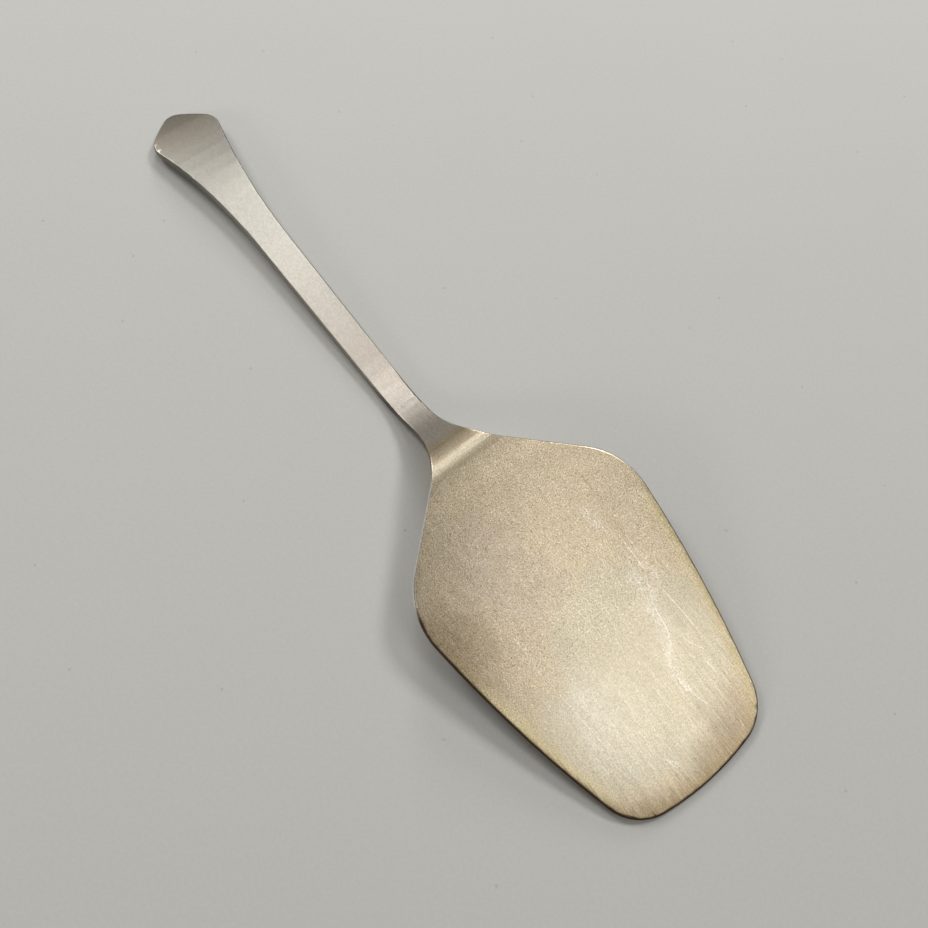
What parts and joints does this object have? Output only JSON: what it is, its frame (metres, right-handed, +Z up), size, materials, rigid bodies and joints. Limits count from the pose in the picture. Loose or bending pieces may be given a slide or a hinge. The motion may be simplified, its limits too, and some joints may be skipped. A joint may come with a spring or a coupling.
{
  "type": "serving spatula",
  "caption": "One-piece cake and serving spatula with a flat tapered blade, cranked neck and narrow handle that flares to a blunt pointed end, lying face down.",
  "frame": {"origin": "on the table, below the middle of the bounding box, with the spatula lying face down at rest", "axes": "+X from the blade's front edge to the handle's end, +Y across the blade, +Z up from the table"},
  "size_m": [0.2342, 0.0674, 0.0134],
  "materials": {
    "satin_metal": "satin silver-coloured handle and neck, worn matt gilt film on the blade"
  },
  "bodies": {
    "root": {"serving_spatula": "satin_metal"}
  },
  "joints": []
}
